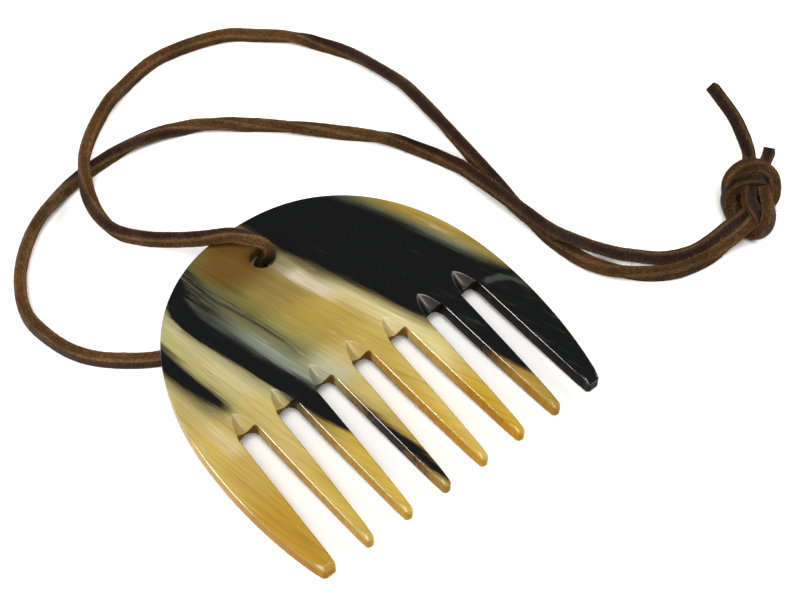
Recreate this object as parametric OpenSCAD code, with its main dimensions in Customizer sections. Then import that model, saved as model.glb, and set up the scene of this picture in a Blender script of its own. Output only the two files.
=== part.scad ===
// Horn beard comb on a knotted leather lace.
// The comb lies on a flat surface: its tooth tips touch the surface and its hole end rests on the lace.
// +X runs across the teeth, +Y from the tooth tips to the lace hole, +Z up.
// The origin is below the middle of the comb, on the surface.

/* [Comb plate] */
// Thickness of the horn plate
comb_th = 4; // [3.4:0.1:4.2]
// Half of the comb's greatest width
half_w = 41; // [40:0.5:44]
// Distance from the tooth roots down to the widest place
widest_drop = 5; // [3:0.5:7]
// Height of the top of the arc above the widest place
arc_rise = 52; // [51:0.5:54]
// Squareness of the arc: 2 is an ellipse, more is fuller at the shoulders
arc_power = 2.25; // [2.1:0.05:2.5]
// Radius of the sides below the widest place
side_r = 111; // [90:1:140]
// Angle between the plate and the surface that it lies on
plate_tilt = 3.2; // [3.1:0.1:4]

/* [Teeth] */
// Length of the teeth below their roots
tooth_len = 35; // [33:0.5:38]
// Distance from one tooth to the next
tooth_pitch = 10; // [9.9:0.1:10.5]
// Width of an inner tooth at its root
tooth_root_w = 5; // [4.6:0.1:5.2]
// Width of an inner tooth just above its rounded tip
tooth_tip_w = 2.7; // [2.4:0.1:3.2]
// Distance from the middle of the comb to the inner edge of a guard tooth, at its tip
guard_tip_x = 33.6; // [33.2:0.1:34.2]
// Depth of the rounded end of each gap above the root line
gap_end = 1.9; // [1.5:0.1:2.3]

/* [Filed notches] */
// Distance from the root line up to the point of a notch
notch_rise = 6.3; // [5.5:0.1:6.5]
// Slope of the valley line of a notch
notch_valley = 18; // [14:1:19]
// How far inside the corner of a gap the notch's edge passes
notch_inset = 0.2; // [0.1:0.05:0.4]

/* [Lace hole] */
// Radius of the hole for the lace
hole_r = 2.8; // [2.6:0.1:3]
// Radius of the worn rim around the hole
hole_rim_r = 3.3; // [3.1:0.1:3.6]
// Distance from the root line up to the hole
hole_rise = 36.2; // [35:0.1:37]
// Distance from the middle of the comb to the hole
hole_offset = -0.8; // [-1:0.1:0]

/* [Lace] */
// Diameter of the plain tube that stands for the square lace
lace_d = 3; // [2.8:0.1:3]
// Half of the knot's length
knot_half_len = 9.5; // [9:0.5:10]
// Half of the knot's width
knot_r = 6; // [5.5:0.5:6]
// Direction of the knot's length
knot_turn = 50; // [45:1:55]

/* [Hidden] */
horn = [0.62, 0.47, 0.25];
leather = [0.33, 0.2, 0.13];
past = 1;
arc_steps = 28;
side_steps = 8;
tip_steps = 6;
end_steps = 6;
gap_count = 7;
end_gap = (gap_count - 1) / 2;
half_gap = (tooth_pitch - tooth_root_w) / 2;
// Each facet of a notch meets the top face along a line from the notch's point to just inside the gap's corner
facet_rise = notch_rise * sin(notch_valley) / (half_gap - notch_inset);
// Where the plate goes: the lowest edge of the tips on the surface, the box of the comb over the origin
low_y = -tooth_len * cos(plate_tilt) - comb_th * sin(plate_tilt);
high_y = (arc_rise - widest_drop) * cos(plate_tilt);
plate_lift = tooth_len * sin(plate_tilt);
lace_sides = 8;

// The front strand: from inside the hole, over the plate and round to the knot
front_route = [
  [-0.8, 30.2, 6],
  [0, 30.4, 7.9],
  [0.2, 31.6, 9.7],
  [-1.2, 33.8, 10.9],
  [-4, 37.2, 11.2],
  [-9.5, 41, 10.7],
  [-14, 45.5, 9.6],
  [-18, 51.5, 7.6],
  [-21.5, 58.5, 6.2],
  [-22, 66, 5.3],
  [-20.5, 73.5, 4.8],
  [-18, 79.5, 4.6],
  [-15, 85, 4.6],
  [-10.5, 90, 4.4],
  [-5, 95, 3.6],
  [1.5, 100, 2.6],
  [10, 104, 1.8],
  [20, 106, 1.5],
  [37, 102, 1.5],
  [44, 96, 1.5],
  [50.5, 89.5, 1.5],
  [55.5, 81, 1.5],
  [58.5, 73.5, 1.5],
  [60.5, 64.5, 1.5],
  [61.5, 57, 1.5],
  [61, 48, 1.5],
  [60, 37.5, 1.5],
  [57.5, 16.5, 1.5],
  [56, 6.5, 1.5],
  [56.5, -9, 1.5],
  [58, -15.5, 1.5],
  [61, -21, 1.5],
  [66, -26, 1.5],
  [72, -29.5, 1.5],
  [78.5, -31, 1.7],
  [84, -31.5, 2.5],
  [89, -31.5, 3.6],
  [92.5, -31, 4.2],
];

// The back strand: from inside the hole, under the plate and round to the knot
back_route = [
  [-0.8, 30.2, 6],
  [-1.6, 30, 4.2],
  [-3.2, 29.6, 2.5],
  [-7, 28.4, 1.7],
  [-15.5, 25, 1.5],
  [-25, 23.5, 1.5],
  [-32.5, 25.5, 1.5],
  [-42, 33, 1.5],
  [-46, 38.5, 1.5],
  [-48.5, 46.5, 1.5],
  [-49, 55, 1.5],
  [-45, 65, 1.5],
  [-38.5, 73, 1.5],
  [-32, 78, 1.5],
  [-24, 81.5, 1.5],
  [-14.5, 84, 1.5],
  [-6.5, 84.5, 1.5],
  [1.5, 84, 1.5],
  [9.5, 81.5, 1.5],
  [16.5, 77.5, 1.5],
  [23.5, 71.5, 1.5],
  [36, 58.5, 1.5],
  [41.5, 52, 1.5],
  [47, 45, 1.5],
  [50.5, 37.5, 1.5],
  [53.5, 29.5, 2],
  [54, 19.5, 3.8],
  [55, 3, 4.7],
  [56, -4.5, 4.7],
  [58.5, -10, 4.2],
  [62, -14.5, 2.8],
  [66.5, -19.5, 1.7],
  [71, -24.5, 1.6],
  [77, -27.5, 1.8],
  [83.5, -28.5, 2.6],
  [88.5, -28.5, 3.4],
  [91, -29, 4.3],
  [94, -29, 4.7],
];

knot_centre = [97.6, -25.6, 6];
// The ends of the lace beyond the knot
long_tail_route = [[102, -20.5, 7.8], [104.5, -18.5, 8], [108.5, -11.5, 8.8], [110, -8, 9.1], [112.5, 2, 10]];
short_tail_route = [[104.5, -22.6, 6.2], [107.5, -21.4, 6.6], [110, -20, 7]];

// Right half of the comb's outline, from the top of the arc down to the tip of the guard tooth
function arc_point(a) = [
  half_w * pow(sin(a), 2 / arc_power),
  arc_rise * pow(cos(a), 2 / arc_power) - widest_drop
];
function side_point(y) = [
  half_w - side_r + sqrt(side_r * side_r - pow(y + widest_drop, 2)),
  y
];
function right_side() = concat(
  [for (i = [0:arc_steps]) arc_point(90 * i / arc_steps)],
  [for (i = [1:side_steps]) side_point(-widest_drop - (tooth_len - widest_drop) * i / side_steps)]
);
function reversed(v) = [for (i = [len(v) - 1:-1:0]) v[i]];
function mirrored(v) = [for (p = v) [-p[0], p[1]]];

module outline() {
  side = right_side();
  polygon(concat(side, reversed(mirrored([for (i = [1:len(side) - 1]) side[i]]))));
}

// The right side of a gap, seen from the gap's own middle: half of an inner tooth, or a guard tooth
function tooth_side() = let (tip_r = tooth_tip_w / 2) concat(
  [for (i = [0:tip_steps])
    [tooth_pitch / 2 - tip_r * cos(90 * i / tip_steps), tip_r - tooth_len - tip_r * sin(90 * i / tip_steps)]],
  [[tooth_pitch / 2, -tooth_len - past]]
);
function guard_side() = let (x = guard_tip_x - end_gap * tooth_pitch) [[x, -tooth_len], [x, -tooth_len - past]];
// The round end of a gap, from its left corner to its right corner
function end_arc() =
  let (r = (half_gap * half_gap + gap_end * gap_end) / (2 * gap_end), reach = acos((r - gap_end) / r))
  [for (i = [-end_steps:end_steps])
    [r * sin(reach * i / end_steps), gap_end - r + r * cos(reach * i / end_steps)]];

module gap(n) {
  right = n == end_gap ? guard_side() : tooth_side();
  left = n == -end_gap ? guard_side() : tooth_side();
  polygon(concat(end_arc(), right, reversed(mirrored(left))));
}

// One filed notch, cut down into the top face from its point to the root line
module notch() {
  reach = 5;
  intersection() {
    translate([0, notch_rise, comb_th])
      rotate([90 + notch_valley, 0, 0])
        linear_extrude(height = 2 * notch_rise)
          polygon([[0, 0], [reach, reach * facet_rise], [-reach, reach * facet_rise]]);
    translate([-reach, 0, 0]) cube([2 * reach, notch_rise + past, comb_th + past]);
  }
}

// The hole's worn rim at the top face
module hole_rim() {
  rim = hole_rim_r - hole_r;
  translate([0, 0, comb_th - rim])
    cylinder(r1 = hole_r, r2 = hole_rim_r + past, h = rim + past, $fn = 64);
}

module mirror_faces() {
  children();
  translate([0, 0, comb_th]) mirror([0, 0, 1]) children();
}

module comb() {
  color(horn)
    translate([0, -(low_y + high_y) / 2, plate_lift])
      rotate([plate_tilt, 0, 0])
        difference() {
          linear_extrude(height = comb_th)
            difference() {
              outline();
              for (n = [-end_gap:end_gap]) translate([n * tooth_pitch, 0]) gap(n);
            }
          mirror_faces()
            for (n = [-end_gap:end_gap]) translate([n * tooth_pitch, 0, 0]) notch();
          translate([hole_offset, hole_rise, 0]) {
            translate([0, 0, -past]) cylinder(r = hole_r, h = comb_th + 2 * past, $fn = 64);
            mirror_faces() hole_rim();
          }
        }
}

// A round tube swept along a route: each ring stands square to the route at its point
function unit(v) = v / norm(v);
function along(r, i) = unit(r[min(i + 1, len(r) - 1)] - r[max(i - 1, 0)]);
function sideways(t) = abs(t[2]) > 0.9 ? unit(cross(t, [0, 1, 0])) : unit(cross(t, [0, 0, 1]));
function ring(p, t, s) = [for (k = [0:lace_sides - 1])
  p + lace_d / 2 * (cos(360 * k / lace_sides) * s + sin(360 * k / lace_sides) * cross(s, t))];
function carried(s, t) = unit(s - (s * t) * t);
// The sideways direction is carried from ring to ring, so that the tube doesn't twist
function frames(r, i, s) = i == len(r) ? [] :
  let (t = along(r, i), n = carried(s, t)) concat([ring(r[i], t, n)], frames(r, i + 1, n));
function flat(v) = [for (a = v) for (b = a) b];

module lace_tube(route) {
  rings = frames(route, 0, sideways(along(route, 0)));
  last = (len(route) - 1) * lace_sides;
  polyhedron(
    points = flat(rings),
    faces = concat(
      [[for (k = [0:lace_sides - 1]) k]],
      [for (i = [0:len(route) - 2]) for (k = [0:lace_sides - 1])
        let (a = i * lace_sides + k, b = i * lace_sides + (k + 1) % lace_sides)
        [b, a, a + lace_sides, b + lace_sides]],
      [[for (k = [lace_sides - 1:-1:0]) last + k]]
    )
  );
}

module lace_front() {
  color(leather) lace_tube(front_route);
}

module lace_back() {
  color(leather) lace_tube(back_route);
}

// The outer shape of the doubled overhand knot
module lace_knot() {
  steps = 12;
  color(leather)
    translate(knot_centre)
      rotate([0, 90, knot_turn])
        rotate_extrude($fn = 48)
          polygon([for (i = [0:steps])
            [knot_r * sin(180 * i / steps), -knot_half_len * cos(180 * i / steps)]]);
}

module lace_tail_long() {
  color(leather) lace_tube(long_tail_route);
}

module lace_tail_short() {
  color(leather) lace_tube(short_tail_route);
}

comb();
lace_front();
lace_back();
lace_knot();
lace_tail_long();
lace_tail_short();
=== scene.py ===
"""Horn beard comb on a knotted leather lace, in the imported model's frame (metres, +Z up)."""
import math
import random

import bpy
from mathutils import Matrix, Vector, kdtree, noise
from mathutils.geometry import delaunay_2d_cdt


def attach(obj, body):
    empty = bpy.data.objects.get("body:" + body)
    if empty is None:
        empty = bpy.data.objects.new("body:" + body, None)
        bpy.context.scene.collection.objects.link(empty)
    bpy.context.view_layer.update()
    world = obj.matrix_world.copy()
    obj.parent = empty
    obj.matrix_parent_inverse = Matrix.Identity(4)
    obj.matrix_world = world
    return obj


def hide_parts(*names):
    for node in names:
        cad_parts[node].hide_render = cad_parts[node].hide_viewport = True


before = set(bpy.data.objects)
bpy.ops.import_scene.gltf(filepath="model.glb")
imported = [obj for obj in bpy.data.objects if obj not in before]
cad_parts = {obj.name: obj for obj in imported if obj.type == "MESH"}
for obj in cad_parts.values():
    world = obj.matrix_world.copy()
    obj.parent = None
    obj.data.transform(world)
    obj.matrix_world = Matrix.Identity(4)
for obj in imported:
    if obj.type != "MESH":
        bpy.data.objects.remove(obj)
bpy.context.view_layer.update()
MM = 0.001
scene = bpy.context.scene

# ---------------------------------------------------------------- camera
eye = Vector((-0.1120, -0.17562, 0.28387))
ahead = Vector((0.3622, 0.5009, -0.7860))
above = Vector((0.5053, 0.6031, 0.6172))
ahead.normalize()
right = ahead.cross(above).normalized()
above = right.cross(ahead)
camera_data = bpy.data.cameras.new("camera")
camera_data.lens = 72.0
camera_data.sensor_width = 36.0
camera_data.clip_start = 0.01
camera = bpy.data.objects.new("camera", camera_data)
camera.matrix_world = Matrix.Translation(eye) @ Matrix((right, above, -ahead)).transposed().to_4x4()
scene.collection.objects.link(camera)
scene.camera = camera
scene.view_settings.view_transform = "Standard"
scene.view_settings.look = "None"


# ---------------------------------------------------------------- helpers
def clamp(v, lo=0.0, hi=1.0):
    return lo if v < lo else hi if v > hi else v


def smooth(v, a, b):
    t = clamp((v - a) / (b - a))
    return t * t * (3 - 2 * t)


def smooth_min(a, b, k):
    h = max(k - abs(a - b), 0.0) / k
    return min(a, b) - h * h * k / 4


def add_mesh(name, verts, faces, materials, face_material=None, uvs=None, attributes=None):
    mesh = bpy.data.meshes.new(name)
    mesh.from_pydata([tuple(v) for v in verts], [], faces)
    for m in materials:
        mesh.materials.append(m)
    if face_material:
        mesh.polygons.foreach_set("material_index", face_material)
    if uvs:
        layer = mesh.uv_layers.new(name="UVMap")
        flat = [c for face in uvs for uv in face for c in uv]
        layer.data.foreach_set("uv", flat)
    for label, values in (attributes or {}).items():
        mesh.attributes.new(label, "FLOAT", "POINT").data.foreach_set("value", values)
    mesh.polygons.foreach_set("use_smooth", [True] * len(mesh.polygons))
    mesh.validate()
    mesh.update()
    obj = bpy.data.objects.new(name, mesh)
    scene.collection.objects.link(obj)
    return obj


class Nodes:
    """Short calls that add and join shader nodes."""

    def __init__(self, name):
        self.mat = bpy.data.materials.new(name)
        self.mat.use_nodes = True
        self.tree = self.mat.node_tree
        self.tree.nodes.clear()
        self.bsdf = self.node("BsdfPrincipled")
        self.put(self.node("OutputMaterial").inputs["Surface"], self.bsdf.outputs[0])

    def node(self, kind):
        return self.tree.nodes.new("ShaderNode" + kind)

    def put(self, socket, value):
        if isinstance(value, bpy.types.NodeSocket):
            self.tree.links.new(value, socket)
        else:
            socket.default_value = value

    def fill(self, node, values):
        for socket, value in zip(node.inputs, values):
            self.put(socket, value)
        return node

    def surface(self, settings):
        """Puts each value on the shader's own socket of that name."""
        for name, value in settings.items():
            self.put(self.bsdf.inputs[name], value)

    def math(self, op, *values):
        n = self.node("Math")
        n.operation = op
        return self.fill(n, values).outputs[0]

    def add(self, a, b):
        return self.math("ADD", a, b)

    def sub(self, a, b):
        return self.math("SUBTRACT", a, b)

    def mul(self, a, b):
        return self.math("MULTIPLY", a, b)

    def most(self, a, b):
        return self.math("MAXIMUM", a, b)

    def step(self, v, a, b, lo=0.0, hi=1.0):
        """A smooth step from lo at a to hi at b."""
        n = self.node("MapRange")
        n.interpolation_type = "SMOOTHSTEP"
        return self.fill(n, (v, a, b, lo, hi)).outputs[0]

    def mix(self, f, a, b, how="MIX"):
        n = self.node("Mix")
        n.data_type = "RGBA"
        n.blend_type = how
        self.put(n.inputs[0], f)
        for s, v in ((n.inputs[6], a), (n.inputs[7], b)):
            self.put(s, (*v, 1) if isinstance(v, tuple) else v)
        return n.outputs[2]

    def tint(self, f, colour, by):
        """The colour, multiplied as far as f says."""
        return self.mix(f, colour, self.mix(1.0, colour, by, "MULTIPLY"))

    def scaled(self, colour, factor):
        n = self.node("VectorMath")
        n.operation = "SCALE"
        self.put(n.inputs[0], colour)
        self.put(n.inputs["Scale"], factor)
        return n.outputs[0]

    def ramp(self, v, lo, hi, stops):
        n = self.node("ValToRGB")
        r = n.color_ramp
        r.interpolation = "LINEAR"
        place = [clamp((p - lo) / (hi - lo)) for p, _ in stops]
        for element, i in ((r.elements[0], 0), (r.elements[1], -1)):
            element.position = place[i]
            element.color = (*stops[i][1], 1)
        for p, (_, col) in list(zip(place, stops))[1:-1]:
            r.elements.new(p).color = (*col, 1)
        t = self.fill(self.node("MapRange"), (v, lo, hi, 0.0, 1.0))
        self.put(n.inputs[0], t.outputs[0])
        return n.outputs[0]

    def vec(self, x, y, z):
        return self.fill(self.node("CombineXYZ"), (x, y, z)).outputs[0]

    def split(self, vector):
        return self.fill(self.node("SeparateXYZ"), (vector,)).outputs

    def noise(self, vector, scale=1.0, detail=2.0, rough=0.5):
        n = self.node("TexNoise")
        for name, value in (("Vector", vector), ("Scale", scale), ("Detail", detail), ("Roughness", rough)):
            self.put(n.inputs[name], value)
        return n.outputs["Fac"]

    def bump(self, height, strength, distance):
        n = self.node("Bump")
        for name, value in (("Strength", strength), ("Distance", distance), ("Height", height)):
            self.put(n.inputs[name], value)
        return n.outputs[0]

    def curve(self, value, keys):
        """A number read off straight lines between (place, number) pairs."""
        places, numbers = [k[0] for k in keys], [k[1] for k in keys]
        low, high = min(numbers), max(numbers)
        span = high - low
        stops = [(p, ((n - low) / span,) * 3) for p, n in sorted(zip(places, numbers))]
        return self.add(self.mul(self.ramp(value, min(places), max(places), stops), span), low)

    def attribute(self, name):
        n = self.node("Attribute")
        n.attribute_name = name
        return n.outputs["Fac"]


# ---------------------------------------------------------------- comb, in plate millimetres
TH, HALF_W, DROP, RISE, POWER, SIDE_R = 4.0, 41.0, 5.0, 52.0, 2.25, 111.0
TILT = math.radians(3.2)
TOOTH, PITCH, GAP_HALF, GAP_END, GUARD_X = 35.0, 10.0, 2.5, 1.55, 33.6
NOTCH_RISE, NOTCH_SLOPE, NOTCH_EDGE = 6.1, math.tan(math.radians(19)), 2.5
HOLE = (-0.8, 36.2)
HOLE_R = 2.8
EDGE = 0.45
HORN_TONE = 0.56
POLISHED_IOR, DULL_IOR = 1.54, 1.07
END_GAP = 3
RIM_RINGS = 6
GRID_STEP = 1.0
TOOTH_SPAN = END_GAP * PITCH + GAP_HALF
LOW_Y = -TOOTH * math.cos(TILT) - TH * math.sin(TILT)
HIGH_Y = (RISE - DROP) * math.cos(TILT)
SHIFT = (0.0, -(LOW_Y + HIGH_Y) / 2, TOOTH * math.sin(TILT))


def to_row(x, y, z):
    return Vector((
        x + SHIFT[0],
        y * math.cos(TILT) - z * math.sin(TILT) + SHIFT[1],
        y * math.sin(TILT) + z * math.cos(TILT) + SHIFT[2],
    )) * MM


def fillet(a, b, c, radius, steps=7):
    """Points of the arc that rounds the corner b between a and c."""
    u = (Vector(a) - Vector(b)).normalized()
    v = (Vector(c) - Vector(b)).normalized()
    half = math.acos(clamp(u.dot(v), -1, 1)) / 2
    run = radius / math.tan(half)
    p, q = Vector(b) + u * run, Vector(b) + v * run
    o = Vector(b) + (u + v).normalized() * (radius / math.sin(half))
    a0 = math.atan2(p.y - o.y, p.x - o.x)
    a1 = math.atan2(q.y - o.y, q.x - o.x)
    while a1 - a0 > math.pi:
        a1 -= 2 * math.pi
    while a1 - a0 < -math.pi:
        a1 += 2 * math.pi
    turns = [a0 + (a1 - a0) * i / steps for i in range(steps + 1)]
    return [(o.x + radius * math.cos(a), o.y + radius * math.sin(a)) for a in turns]


def tooth_half(y):
    return GAP_HALF - 0.030 * abs(y) - 0.0004 * y * y


def side_x(y):
    return HALF_W - SIDE_R + math.sqrt(SIDE_R**2 - (y + DROP) ** 2)


def comb_outline():
    pts = []
    n = 150
    for i in range(n + 1):
        a = math.pi / 2 * i / n
        pts.append((-HALF_W * math.sin(a) ** (2 / POWER), RISE * math.cos(a) ** (2 / POWER) - DROP))
    n = 26
    for i in range(1, n):
        y = -DROP - (TOOTH - 1.5 - DROP) * i / n
        pts.append((-side_x(y), y))
    outer, inner = side_x(-TOOTH) - 0.12, GUARD_X + 0.1
    pts += fillet((-side_x(-33), -33), (-outer, -TOOTH), (-inner, -TOOTH), 0.95)
    pts += fillet((-outer, -TOOTH), (-inner, -TOOTH), (-inner + 0.5, -30), 0.8)
    for g in range(-END_GAP, END_GAP + 1):
        mid = g * PITCH
        for i in range(1, 24):
            y = -32.6 * (1 - i / 24)
            left = TOOTH_SPAN + (GUARD_X - TOOTH_SPAN) * (-y / TOOTH) if g == -END_GAP else None
            pts.append((-left if left else mid - PITCH / 2 + tooth_half(y), y))
        for i in range(21):
            a = math.pi * (1 - i / 20)
            c, s = math.cos(a), math.sin(a)
            pts.append((mid + GAP_HALF * math.copysign(abs(c) ** 0.5, c), GAP_END * max(s, 0) ** 0.5))
        for i in range(1, 24):
            y = -32.6 * i / 24
            rr = TOOTH_SPAN + (GUARD_X - TOOTH_SPAN) * (-y / TOOTH) if g == END_GAP else None
            pts.append((rr if rr else mid + PITCH / 2 - tooth_half(y), y))
        if g < END_GAP:
            c, w = mid + PITCH / 2, tooth_half(-TOOTH) - 0.08
            w2 = tooth_half(-32)
            pts += fillet((c - w2, -32), (c - w, -TOOTH), (c + w, -TOOTH), 0.8)
            pts += fillet((c - w, -TOOTH), (c + w, -TOOTH), (c + w2, -32), 0.8)
    pts += fillet((inner - 0.5, -30), (inner, -TOOTH), (outer, -TOOTH), 0.8)
    pts += fillet((inner, -TOOTH), (outer, -TOOTH), (side_x(-33), -33), 0.95)
    n = 26
    for i in range(n - 1, 0, -1):
        y = -DROP - (TOOTH - 1.5 - DROP) * i / n
        pts.append((side_x(y), y))
    n = 150
    for i in range(n, 0, -1):
        a = math.pi / 2 * i / n
        pts.append((HALF_W * math.sin(a) ** (2 / POWER), RISE * math.cos(a) ** (2 / POWER) - DROP))
    clean = [pts[0]]
    for p in pts[1:]:
        if math.dist(p, clean[-1]) > 0.02:
            clean.append(p)
    if math.dist(clean[0], clean[-1]) < 0.02:
        clean.pop()
    return clean


def inward(points):
    """Unit vectors into the plate at each point of a closed loop with the plate on its left."""
    out = []
    for i, p in enumerate(points):
        a, b = points[i - 1], points[(i + 1) % len(points)]
        e1 = (Vector(p) - Vector(a)).normalized()
        e2 = (Vector(b) - Vector(p)).normalized()
        t = (e1 + e2).normalized()
        out.append(Vector((-t.y, t.x)))
    return out


def notch_height(x, y):
    """Height of the nearest notch's two facets over the plate's lower face, or None away from a notch."""
    g = round(x / PITCH)
    if abs(g) > END_GAP or y > NOTCH_RISE + 2 or y < -3:
        return None
    dx = x - g * PITCH
    crease = math.sqrt(dx * dx + 0.008) - 0.09
    flank = 0.30 * crease / NOTCH_EDGE + 0.70 * (abs(dx) / NOTCH_EDGE) ** 2.6
    return TH - NOTCH_SLOPE * (NOTCH_RISE * (1 - flank) - max(y, -0.3))


def drop_from_face(x, y):
    """How far the finished face lies below the flat of the plate."""
    z = TH
    n = notch_height(x, y)
    if n is not None:
        z = smooth_min(z, n, 0.06)
    end = TOOTH + y
    if end < 2.2:
        z -= 0.42 * (1 - end / 2.2) ** 2
    dx, dy = x - HOLE[0], y - HOLE[1]
    far = math.hypot(dx, dy)
    worn = 1.5 + 0.9 * max(0.0, (-dx * 0.9 + dy * 0.2) / max(far, 0.1))
    if far < HOLE_R + worn:
        z -= 0.55 * (1 - (far - HOLE_R) / worn) ** 2
    z += 0.035 * noise.noise(Vector((x * 0.06, y * 0.045, 3.1)))
    return TH - z


def comb_mesh():
    outline = comb_outline()
    # the hole runs the other way round, so that the plate is on its left too
    turns = [-2 * math.pi * i / 64 for i in range(64)]
    hole = [(HOLE[0] + HOLE_R * math.cos(a), HOLE[1] + HOLE_R * math.sin(a)) for a in turns]
    verts, faces = [], []
    rings = RIM_RINGS
    inner = {}
    for loop_name, loop in (("outline", outline), ("hole", hole)):
        normals = inward(loop)
        n = len(loop)
        levels = []
        for k in range(rings + 1):
            levels.append(("top", math.pi / 2 * (rings - k) / rings))
        levels.append(("wall", 0.66))
        levels.append(("wall", 0.33))
        for k in range(rings + 1):
            levels.append(("low", math.pi / 2 * k / rings))
        table = []
        for what, t in levels:
            row = []
            for p, m in zip(loop, normals):
                thick = TH - 2 * drop_from_face(*p)
                r = min(EDGE, 0.3 * thick)
                if p[1] > 0.05 and abs(p[0]) < TOOTH_SPAN and p[1] < GAP_END + 0.1:
                    r = 0.14
                if what == "wall":
                    x, y = p
                    top = TH - drop_from_face(x, y) - r
                    low = drop_from_face(x, y) + r
                    z = low + (top - low) * t
                else:
                    d = r * (1 - math.cos(t))
                    x, y = p[0] + m.x * d, p[1] + m.y * d
                    fall = drop_from_face(x, y) + r * (1 - math.sin(t))
                    z = TH - fall if what == "top" else fall
                row.append(len(verts))
                verts.append((x, y, z))
            table.append(row)
        for up, down in zip(table[:-1], table[1:]):
            for i in range(n):
                j = (i + 1) % n
                faces.append((up[i], down[i], down[j], up[j]))
        inner[loop_name] = (table[0], table[-1])
    grid = []
    y = -TOOTH + 0.5
    while y < RISE - DROP:
        x = -HALF_W
        while x <= HALF_W:
            grid.append((x, y))
            x += GRID_STEP
        y += GRID_STEP
    for g in range(-END_GAP, END_GAP + 1):
        for i in range(-14, 15):
            for j in range(0, 34):
                grid.append((g * PITCH + i * 0.2, -0.1 + j * 0.2))
    for g in range(-END_GAP, END_GAP):
        for i in range(-3, 4):
            for j in range(8):
                grid.append(((g + 0.5) * PITCH + i * 0.3, -TOOTH + 0.8 + j * 0.25))
    for side in (-1, 1):
        for i in range(8):
            for j in range(8):
                grid.append((side * (34.3 + i * 0.3), -TOOTH + 0.8 + j * 0.25))
    for k in range(1, 8):
        for i in range(48):
            a = 2 * math.pi * i / 48
            rr = HOLE_R + EDGE + 0.28 * k
            grid.append((HOLE[0] + rr * math.cos(a), HOLE[1] + rr * math.sin(a)))
    edge_points = [verts[i] for i in inner["outline"][0] + inner["hole"][0]]
    tree = kdtree.KDTree(len(edge_points))
    for i, p in enumerate(edge_points):
        tree.insert((p[0], p[1], 0), i)
    tree.balance()
    # keep the grid off the rims, thin it where a finer patch already lies, and drop points outside the plate
    seen = set()
    kept = []
    for p in reversed(grid):
        key = (round(p[0] / 0.14), round(p[1] / 0.14))
        if key in seen or tree.find((p[0], p[1], 0))[2] < 0.22:
            continue
        seen.add(key)
        kept.append(p)
    for side, which in (("top", 0), ("low", 1)):
        loops = [inner["outline"][which], inner["hole"][which]]
        ids = loops[0] + loops[1]
        flat = [Vector((verts[i][0], verts[i][1])) for i in ids]
        edges = []
        start = 0
        for loop in loops:
            n = len(loop)
            edges += [(start + i, start + (i + 1) % n) for i in range(n)]
            start += n
        flat += [Vector(p) for p in kept]
        co, _, tris, orig, _, _ = delaunay_2d_cdt(flat, edges, [], 2, 1e-5)
        new = {}
        for t in tris:
            middle = sum((Vector(co[i]) for i in t), Vector((0, 0))) / len(t)
            if (middle - Vector(HOLE)).length < (HOLE_R + EDGE) * 0.9985:
                continue
            face = []
            for i in t:
                if i not in new:
                    src = orig[i][0] if orig[i] else -1
                    if 0 <= src < len(ids):
                        new[i] = ids[src]
                    else:
                        x, y = co[i]
                        f = drop_from_face(x, y)
                        new[i] = len(verts)
                        verts.append((x, y, TH - f if side == "top" else f))
                face.append(new[i])
            a, b, c = (verts[i] for i in face[:3])
            turn = (b[0] - a[0]) * (c[1] - a[1]) - (b[1] - a[1]) * (c[0] - a[0])
            if (turn > 0) != (side == "top"):
                face.reverse()
            faces.append(tuple(face))
    marks = {"sawn_shade": [], "wall": [], "facet": [], "ridge_highlight": []}
    for i, (x, y, z) in enumerate(verts):
        top = TH - drop_from_face(x, y)
        side = smooth(top - z, 0.24, 0.55)
        gap = abs(x) < TOOTH_SPAN and abs(x - PITCH * round(x / PITCH)) < GAP_HALF
        bore = math.hypot(x - HOLE[0], y - HOLE[1]) < HOLE_R + 0.25
        end = gap and GAP_END + 0.6 > y > -0.6 and top - z > 0.12
        # the sawn gap ends and the bore are marked for painted shade
        marks["sawn_shade"].append(1.0 if end else 0.35 if bore and top - z > 0.2 else 0.0)
        marks["wall"].append(side)
        n = notch_height(x, y)
        dx = x - PITCH * round(x / PITCH)
        inside = n is not None and n < TH + 0.05 and top - z < 0.2
        marks["facet"].append((-1.0 if dx < 0 else 1.0) * clamp((TH - n) / 0.12) if inside else 0.0)
        # each notch's crease and rims are marked for a painted highlight
        rim = 0.0
        if inside:
            rim = max(clamp(1 - abs(dx) / 0.3) * smooth(y, 1.8, 3.8), 0.7 * clamp(1 - abs(n - TH) / 0.12))
        marks["ridge_highlight"].append(rim)
    return [to_row(*v) for v in verts], faces, marks


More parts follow.
